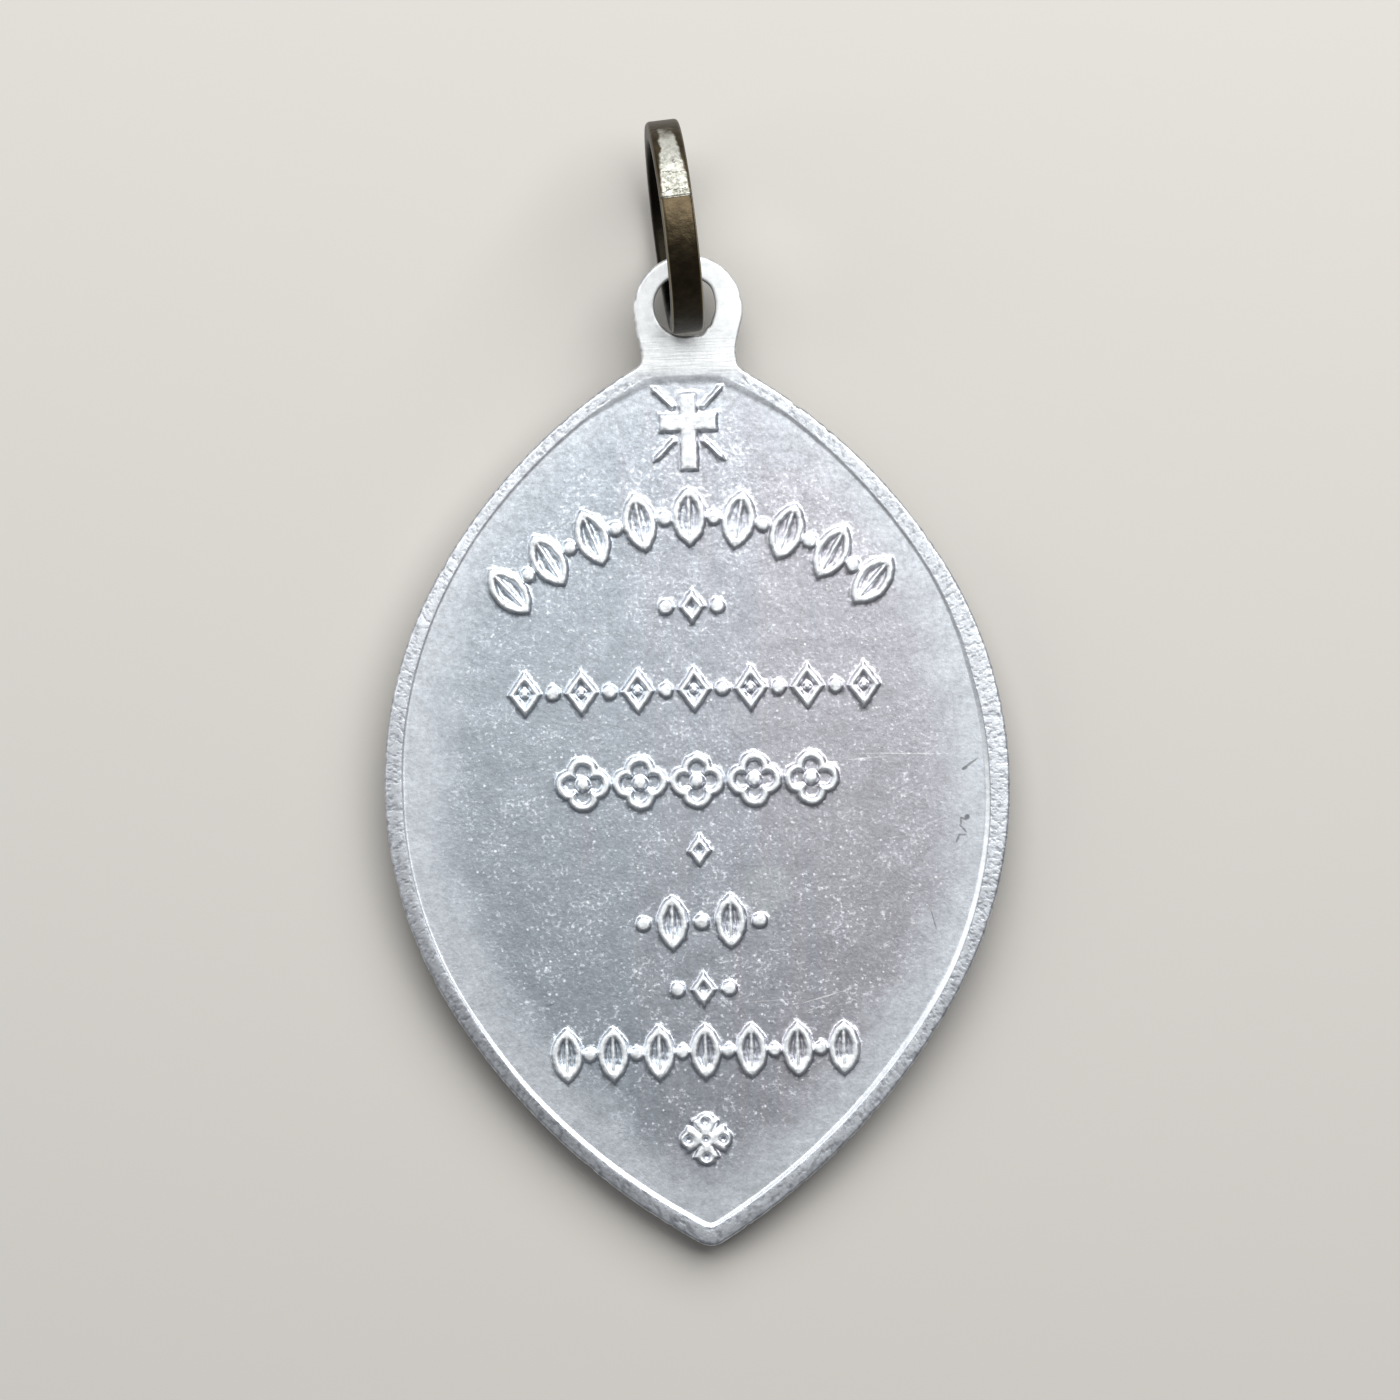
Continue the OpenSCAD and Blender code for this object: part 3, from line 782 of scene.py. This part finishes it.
    tintShift = addNode(tree, "ShaderNodeMath", {0: streaks, 1: 14.0, 2: sides}, operation="MULTIPLY_ADD")
    tint = addNode(tree, "ShaderNodeMapRange", {"Value": tintShift, "From Min": 2.0, "From Max": 12.0})
    field = addNode(tree, "ShaderNodeMix", {
        0: tint, 6: hexColour(finish["fieldCool"]), 7: hexColour(finish["fieldWarm"])}, data_type="RGBA")
    banded = addNode(tree, "ShaderNodeMix", {
        0: middle, 6: hexColour(finish["matteBand"]), 7: field}, data_type="RGBA")
    colour = addNode(tree, "ShaderNodeMix", {
        0: glintFlecks, 6: banded, 7: hexColour(finish["fleckGlint"])}, data_type="RGBA")

    # stains, scratches and grime, each a ragged oval in its own place on the face
    stray = addNode(tree, "ShaderNodeTexNoise", {"Vector": plane, "Scale": 2.5, "Detail": 3.0})
    centred = addNode(tree, "ShaderNodeVectorMath", {
        0: stray.outputs["Color"], 1: (0.5, 0.5, 0.5)}, operation="SUBTRACT")
    for (x, y), (length, width), turn, wander, tone, strength in marks:
        shifted = addNode(tree, "ShaderNodeVectorMath", {
            0: centred, 1: (wander, wander, 0), 2: plane}, operation="MULTIPLY_ADD")
        spot = addNode(tree, "ShaderNodeMapping", {
            "Vector": shifted, "Location": (x, y, 0), "Rotation": (0, 0, math.radians(turn)),
            "Scale": (length, width, 100.0)}, vector_type="TEXTURE")
        offset = addNode(tree, "ShaderNodeVectorMath", {0: spot}, operation="LENGTH")
        inside = addNode(tree, "ShaderNodeMapRange", {
            "Value": offset.outputs["Value"], "From Min": 0.7, "From Max": 1.15,
            "To Min": strength, "To Max": 0.0})
        seen = addNode(tree, "ShaderNodeMath", {0: inside, 1: onFace}, operation="MULTIPLY")
        colour = addNode(tree, "ShaderNodeMix", {0: seen, 6: colour, 7: hexColour(tone)}, data_type="RGBA")

    worn = addNode(tree, "ShaderNodeMapRange", {"Value": relief, "From Min": 0.35, "From Max": 0.8})
    # a painted highlight on the rim's inner slope, 0.2 mm wide, on the right, up to the widest place
    paintedSlopeHighlight = 0.6
    for reading, start, end, low, high in (
            (crest, 0.03, 0.08, 0.0, 1.0), (crest, 0.17, 0.25, 1.0, 0.0),
            (sides.outputs["X"], 9.0, 12.0, 0.0, 1.0), (sides.outputs["Y"], -1.0, 4.0, 1.0, 0.0)):
        limit = addNode(tree, "ShaderNodeMapRange", {
            "Value": reading, "From Min": start, "From Max": end, "To Min": low, "To Max": high})
        paintedSlopeHighlight = addNode(tree, "ShaderNodeMath", {0: paintedSlopeHighlight, 1: limit}, operation="MULTIPLY")
    for share, tone in ((worn, "worn"), (rim, "rim"), (paintedSlopeHighlight, "slope"), (lug, "lug")):
        colour = addNode(tree, "ShaderNodeMix", {
            0: share, 6: colour, 7: hexColour(finish[tone])}, data_type="RGBA")
    # light and dark mottling, 0.3 mm and finer, strongest in the upper field and weak on the lug
    mottle = addNode(tree, "ShaderNodeTexNoise", {
        "Vector": plane, "Scale": 3.4, "Detail": 4.0, "Roughness": 0.78})
    swing = addNode(tree, "ShaderNodeMapRange", {
        "Value": mottle, "From Min": 0.3, "From Max": 0.7, "To Min": -1.0, "To Max": 0.9})
    calmer = addNode(tree, "ShaderNodeMath", {0: lug, 1: -0.17, 2: 0.2}, operation="MULTIPLY_ADD")
    amount = addNode(tree, "ShaderNodeMath", {0: upper, 1: 0.08, 2: calmer}, operation="MULTIPLY_ADD")
    # and a slow change over 1.4 mm
    slow = addNode(tree, "ShaderNodeMapRange", {
        "Value": crowd, "From Min": 0.3, "From Max": 0.7, "To Min": 0.94, "To Max": 1.06})
    shade = addNode(tree, "ShaderNodeMath", {0: swing, 1: amount, 2: slow}, operation="MULTIPLY_ADD")
    mottled = addNode(tree, "ShaderNodeVectorMath", {0: colour, "Scale": shade}, operation="SCALE")
    # painted shade in the rim's pits and a painted shadow line where the rim turns down
    colour = addNode(tree, "ShaderNodeMix", {
        0: paintedRimShade, 6: mottled, 7: hexColour(finish["pitShade"])}, data_type="RGBA")

    roughMiddle = addNode(tree, "ShaderNodeMapRange", {
        "Value": sides.outputs["Y"], "From Min": -16.0, "From Max": 16.0,
        "To Min": finish["centreRough"][0], "To Max": finish["centreRough"][1]})
    roughness = addNode(tree, "ShaderNodeMix", {0: middle, 2: finish["bandRough"], 3: roughMiddle})
    for share, part in ((glintFlecks, "fleckRough"), (worn, "wornRough"), (rim, "rimRough"), (lug, "lugRough")):
        roughness = addNode(tree, "ShaderNodeMix", {0: share, 2: roughness, 3: finish[part]})

    lifted = addNode(tree, "ShaderNodeMath", {0: glintFlecks, 1: 0.4, 2: grain}, operation="MULTIPLY_ADD")
    dug = addNode(tree, "ShaderNodeMath", {0: pitted, 1: -2.0, 2: lifted}, operation="MULTIPLY_ADD")
    fieldDepth = addNode(tree, "ShaderNodeMath", {0: dug, 1: 0.3}, operation="MULTIPLY")
    height = addNode(tree, "ShaderNodeMix", {0: lug, 2: fieldDepth, 3: filed})
    bump = addNode(tree, "ShaderNodeBump", {"Strength": 0.8, "Distance": 0.025 * mm, "Height": height})
    surface = addNode(tree, "ShaderNodeBsdfPrincipled", {
        "Base Color": colour, "Metallic": 1.0, "Roughness": roughness, "Normal": bump})
    addNode(tree, "ShaderNodeOutputMaterial", {"Surface": surface})
    return material


ring = {
    "Radius": 4.75 * mm,
    "Band Thickness": 0.85 * mm,
    "Band Width": 1.45 * mm,
    "Edge Round": 0.19 * mm,
    "Seam Angle": math.radians(14),     # from the top, away from the medal
    "Seam Depth": 0.08 * mm,
    "Dent Depth": 0.012 * mm,
    "Lean": math.radians(3),
    "Turn": math.radians(5.4),
    "Seat": (-0.24 * mm, 20.351 * mm, 4.775 * mm),
}

patina = {
    "dark": "#1A1813",
    "light": "#564B39",
    "inside": "#1B1813",        # where nothing rubs it
    "edge": "#8E8772",          # thin lines along the outer edges, worn brass with a painted highlight
    "tinDark": "#5F5E57",
    "tinLight": "#A5A59D",
    "tinCleanAndLit": "#DEDED6",      # at the patch's far end, partly cleaner tin and partly a painted highlight
    "wrinkle": "#4A4841",
    "patinaRough": 0.42,
    "tinRough": 0.5,
}


def patinatedBrass():
    # brass strip gone brown-black in air, with bright tinned metal bare beside the seam and thin worn edges;
    # the edge lines and the tin's far end also carry painted highlights
    material, tree = newMaterial("patinatedBrass")
    place = addNode(tree, "ShaderNodeTexCoord").outputs["Object"]
    own = addNode(tree, "ShaderNodeMapping", {      # the ring's own space in millimetres, its axis along X
        "Vector": place, "Location": ring["Seat"], "Rotation": (0, ring["Lean"], ring["Turn"]),
        "Scale": (mm, mm, mm)}, vector_type="TEXTURE")
    axes = addNode(tree, "ShaderNodeSeparateXYZ", {0: own})
    radians = addNode(tree, "ShaderNodeMath", {0: axes.outputs["Y"], 1: axes.outputs["Z"]}, operation="ARCTAN2")
    degrees = addNode(tree, "ShaderNodeMath", {0: radians}, operation="DEGREES")
    mottle = addNode(tree, "ShaderNodeTexNoise", {
        "Vector": own, "Scale": 2.2, "Detail": 4.0, "Roughness": 0.62})
    offMiddle = addNode(tree, "ShaderNodeMath", {0: axes.outputs["X"]}, operation="ABSOLUTE")

    # the tinned patch: from the seam to 60 degrees down the far side, ragged but straight along the seam
    ragged = addNode(tree, "ShaderNodeMath", {0: mottle, 1: 30.0, 2: degrees}, operation="MULTIPLY_ADD")
    after = addNode(tree, "ShaderNodeMapRange", {"Value": degrees, "From Min": 13.6, "From Max": 14.6})
    before = addNode(tree, "ShaderNodeMapRange", {
        "Value": ragged, "From Min": 68.0, "From Max": 80.0, "To Min": 1.0, "To Max": 0.0})
    narrowing = addNode(tree, "ShaderNodeMapRange", {   # how much its edge has come in towards the far end
        "Value": degrees, "From Min": 14.0, "From Max": 60.0, "To Min": 0.0, "To Max": 0.38})
    stray = addNode(tree, "ShaderNodeMath", {0: mottle, 1: 0.35, 2: offMiddle}, operation="MULTIPLY_ADD")
    sideways = addNode(tree, "ShaderNodeMath", {0: stray, 1: narrowing}, operation="ADD")
    inner = addNode(tree, "ShaderNodeMapRange", {
        "Value": sideways, "From Min": 0.78, "From Max": 0.88, "To Min": 1.0, "To Max": 0.0})
    along = addNode(tree, "ShaderNodeMath", {0: after, 1: before}, operation="MULTIPLY")
    tinned = addNode(tree, "ShaderNodeMath", {0: along, 1: inner}, operation="MULTIPLY")
    # thin dark wrinkles across the tin, one every 10 degrees, near the seam only
    warped = addNode(tree, "ShaderNodeMath", {0: mottle, 1: 24.0, 2: degrees}, operation="MULTIPLY_ADD")
    toWrinkle = addNode(tree, "ShaderNodeMath", {0: warped, 1: 5.0}, operation="PINGPONG")
    fold = addNode(tree, "ShaderNodeMapRange", {
        "Value": toWrinkle, "From Min": 0.15, "From Max": 0.6, "To Min": 0.8, "To Max": 0.0})
    nearSeam = addNode(tree, "ShaderNodeMapRange", {
        "Value": degrees, "From Min": 34.0, "From Max": 40.0, "To Min": 1.0, "To Max": 0.0})
    wrinkle = addNode(tree, "ShaderNodeMath", {0: fold, 1: nearSeam}, operation="MULTIPLY")
    # the tin's grain, 0.2 mm and finer; it is lighter towards the far end, partly cleaner and partly a painted
    # highlight where it turns towards the light
    grain = addNode(tree, "ShaderNodeTexNoise", {
        "Vector": own, "Scale": 4.5, "Detail": 3.0, "Roughness": 0.65})
    tinGrain = addNode(tree, "ShaderNodeMapRange", {"Value": grain, "From Min": 0.35, "From Max": 0.65})
    tin = addNode(tree, "ShaderNodeMix", {
        0: tinGrain, 6: hexColour(patina["tinDark"]), 7: hexColour(patina["tinLight"])}, data_type="RGBA")
    cleanerAndLit = addNode(tree, "ShaderNodeMapRange", {
        "Value": degrees, "From Min": 25.0, "From Max": 50.0, "To Min": 0.0, "To Max": 0.55})
    for share, tone in ((cleanerAndLit, "tinCleanAndLit"), (wrinkle, "wrinkle")):
        tin = addNode(tree, "ShaderNodeMix", {
            0: share, 6: tin, 7: hexColour(patina[tone])}, data_type="RGBA")

    # the patina is darkest inside the ring, where nothing rubs it
    spoke = addNode(tree, "ShaderNodeVectorMath", {0: own, 1: (0, 1, 1)}, operation="MULTIPLY")
    radius = addNode(tree, "ShaderNodeVectorMath", {0: spoke}, operation="LENGTH")
    outside = addNode(tree, "ShaderNodeMapRange", {
        "Value": radius.outputs["Value"], "From Min": 4.5, "From Max": 4.6})
    outerTone = addNode(tree, "ShaderNodeMix", {
        0: mottle, 6: hexColour(patina["dark"]), 7: hexColour(patina["light"])}, data_type="RGBA")
    aged = addNode(tree, "ShaderNodeMix", {
        0: outside, 6: hexColour(patina["inside"]), 7: outerTone}, data_type="RGBA")
    # its outer edges are rubbed to a thin line, most of all on the medal's side; the line's light colour is
    # partly a painted highlight
    rubbed = addNode(tree, "ShaderNodeMapRange", {"Value": offMiddle, "From Min": 0.64, "From Max": 0.67})
    flat = addNode(tree, "ShaderNodeMapRange", {
        "Value": offMiddle, "From Min": 0.7, "From Max": 0.715, "To Min": 1.0, "To Max": 0.0})
    edge = addNode(tree, "ShaderNodeMath", {0: rubbed, 1: flat}, operation="MULTIPLY")
    medalSide = addNode(tree, "ShaderNodeMapRange", {
        "Value": degrees, "From Min": 8.0, "From Max": 30.0, "To Min": 1.0, "To Max": 0.25})
    edgeWearAndHighlight = addNode(tree, "ShaderNodeMath", {0: edge, 1: medalSide}, operation="MULTIPLY")
    worn = addNode(tree, "ShaderNodeMath", {0: edgeWearAndHighlight, 1: outside}, operation="MULTIPLY")
    wornAndLitEdges = addNode(tree, "ShaderNodeMix", {
        0: worn, 6: aged, 7: hexColour(patina["edge"])}, data_type="RGBA")
    colour = addNode(tree, "ShaderNodeMix", {0: tinned, 6: wornAndLitEdges, 7: tin}, data_type="RGBA")
    roughness = addNode(tree, "ShaderNodeMix", {0: tinned, 2: patina["patinaRough"], 3: patina["tinRough"]})
    folded = addNode(tree, "ShaderNodeMath", {0: wrinkle, 1: tinned}, operation="MULTIPLY")
    height = addNode(tree, "ShaderNodeMath", {0: folded, 1: -0.3, 2: mottle}, operation="MULTIPLY_ADD")
    bump = addNode(tree, "ShaderNodeBump", {"Strength": 0.7, "Distance": 0.05 * mm, "Height": height})
    surface = addNode(tree, "ShaderNodeBsdfPrincipled", {
        "Base Color": colour, "Metallic": 1.0, "Roughness": roughness, "Normal": bump})
    addNode(tree, "ShaderNodeOutputMaterial", {"Surface": surface})
    return material


def ringTree():
    # a band swept round a circle, with its seam let in, stood up in its place
    tree, given = newTree("bandRing", {
        "Geometry": "Geometry", "Radius": "Float", "Band Thickness": "Float", "Band Width": "Float",
        "Edge Round": "Float", "Seam Angle": "Float", "Seam Depth": "Float", "Dent Depth": "Float",
        "Lean": "Float", "Turn": "Float", "Seat": "Vector", "Material": "Material"})
    middle = addNode(tree, "ShaderNodeMath", {
        0: given["Band Thickness"], 1: -0.5, 2: given["Radius"]}, operation="MULTIPLY_ADD")
    circle = addNode(tree, "GeometryNodeCurvePrimitiveCircle", {"Resolution": 720, "Radius": middle})
    around = addNode(tree, "GeometryNodeSplineParameter")
    marked = addNode(tree, "GeometryNodeStoreNamedAttribute", {
        "Geometry": circle, "Name": "aroundRing", "Value": around.outputs["Factor"]},
        data_type="FLOAT", domain="POINT")
    section = addNode(tree, "GeometryNodeCurvePrimitiveQuadrilateral", {
        "Width": given["Band Thickness"], "Height": given["Band Width"]})
    rounded = addNode(tree, "GeometryNodeFilletCurve", {
        "Curve": section, "Radius": given["Edge Round"], "Count": 5}, mode="POLY")
    swept = addNode(tree, "GeometryNodeCurveToMesh", {"Curve": marked, "Profile Curve": rounded})

    # the seam is one step of the circle wide; the dents are waves about 0.8 mm long
    share = addNode(tree, "GeometryNodeInputNamedAttribute", {"Name": "aroundRing"}, data_type="FLOAT")
    angle = addNode(tree, "ShaderNodeMath", {0: share, 1: 2 * math.pi}, operation="MULTIPLY")
    atSeam = addNode(tree, "ShaderNodeMath", {0: angle, 1: given["Seam Angle"], 2: 0.004}, operation="COMPARE")
    seam = addNode(tree, "ShaderNodeMath", {0: atSeam, 1: given["Seam Depth"]}, operation="MULTIPLY")
    position = addNode(tree, "GeometryNodeInputPosition")
    waves = addNode(tree, "ShaderNodeTexNoise", {"Vector": position, "Scale": 1200.0, "Detail": 2.0})
    dents = addNode(tree, "ShaderNodeMath", {
        0: waves.outputs[0], 1: given["Dent Depth"], 2: seam}, operation="MULTIPLY_ADD")
    spoke = addNode(tree, "ShaderNodeVectorMath", {0: position}, operation="NORMALIZE")
    outward = addNode(tree, "ShaderNodeMath", {0: dents, 1: -1.0}, operation="MULTIPLY")
    push = addNode(tree, "ShaderNodeVectorMath", {0: spoke, "Scale": outward}, operation="SCALE")
    dented = addNode(tree, "GeometryNodeSetPosition", {"Geometry": swept, "Offset": push})

    # the flat circle's start is turned up to the ring's top
    stood = addNode(tree, "GeometryNodeTransform", {"Geometry": dented, "Rotation": (0.0, -math.pi / 2, 0.0)})
    leaning = addNode(tree, "ShaderNodeCombineXYZ", {"Y": given["Lean"], "Z": given["Turn"]})
    laid = addNode(tree, "GeometryNodeTransform", {
        "Geometry": stood, "Translation": given["Seat"], "Rotation": leaning})
    closeTree(tree, laid, given["Material"])
    return tree


aluminium, brass = struckAluminium(), patinatedBrass()
plan = layOrnament(aluminium)
print(f"ornament laid out: {len(plan.data.polygons)} flat faces")

medalBody = blankMesh(plan)
growMesh(medalBody, strikeTree(), dict(strike, **{
    "Ornament Plan": plan, "Material": aluminium, "Slope": (math.radians(medal["slope"]), 0.0, 0.0),
    "Seat": (0.0, medal["seatY"] * mm, medal["seatZ"] * mm)}))
medalBody.data.shade_smooth()
bpy.data.objects.remove(plan)
print(f"medal struck: {len(medalBody.data.polygons)} faces")

ringBand = meshObject("ringBand", [], [])
growMesh(ringBand, ringTree(), dict(ring, Material=brass))
ringBand.data.shade_smooth()
print(f"ring swept: {len(ringBand.data.polygons)} faces")

for piece, node, slot in ((medalBody, "medal", "medal_metal"), (ringBand, "ring", "ring_metal")):
    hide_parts(node)
    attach(piece, "root")

studio = {
    "aim": (0.24 * mm, -0.71 * mm, 1.6 * mm),
    "distance": 0.6,
    "frameWidth": 62.5 * mm,    # what the picture's side covers on the medal
    "roll": -1.8,               # degrees
    "lamps": {                  # place, width and height in metres, power in watts
        "window": ((0.05, 0.16, 0.21), 0.34, 0.28, 1.92),
        "sideWall": ((-0.3, 0.08, 0.2), 0.25, 0.25, 0.45),
    },
    "sky": ("#D5DAE2", 0.16),
    "floor": "#A8A5A0",
}


def matteBoard():
    # plain matte board under the medal
    material, tree = newMaterial("matteBoard")
    surface = addNode(tree, "ShaderNodeBsdfPrincipled", {
        "Base Color": hexColour(studio["floor"]), "Roughness": 0.9})
    addNode(tree, "ShaderNodeOutputMaterial", {"Surface": surface})
    return material


floor = meshObject("floor", [(-1, -1, 0), (1, -1, 0), (1, 1, 0), (-1, 1, 0)], [(0, 1, 2, 3)])
floor.data.materials.append(matteBoard())

for name, (place, width, height, power) in studio["lamps"].items():
    lamp = bpy.data.lights.new(name, "AREA")
    lamp.shape, lamp.size, lamp.size_y, lamp.energy = "RECTANGLE", width, height, power
    holder = bpy.data.objects.new(name, lamp)
    holder.location = place
    holder.rotation_euler = (-Vector(place)).to_track_quat("-Z", "Y").to_euler()
    scene.collection.objects.link(holder)

world = bpy.data.worlds.new("sky")
world.use_nodes = True
background = world.node_tree.nodes["Background"]
background.inputs["Color"].default_value = hexColour(studio["sky"][0])
background.inputs["Strength"].default_value = studio["sky"][1]
scene.world = world
scene.view_settings.view_transform = "Standard"

cameraData = bpy.data.cameras.new("camera")
cameraData.lens = cameraData.sensor_width * studio["distance"] / studio["frameWidth"]
cameraData.clip_start, cameraData.clip_end = 0.01, 10
camera = bpy.data.objects.new("camera", cameraData)
camera.location = Vector(studio["aim"]) + Vector((0, 0, studio["distance"]))
camera.rotation_euler = (0, 0, math.radians(studio["roll"]))
scene.collection.objects.link(camera)
scene.camera = camera
print("studio set")
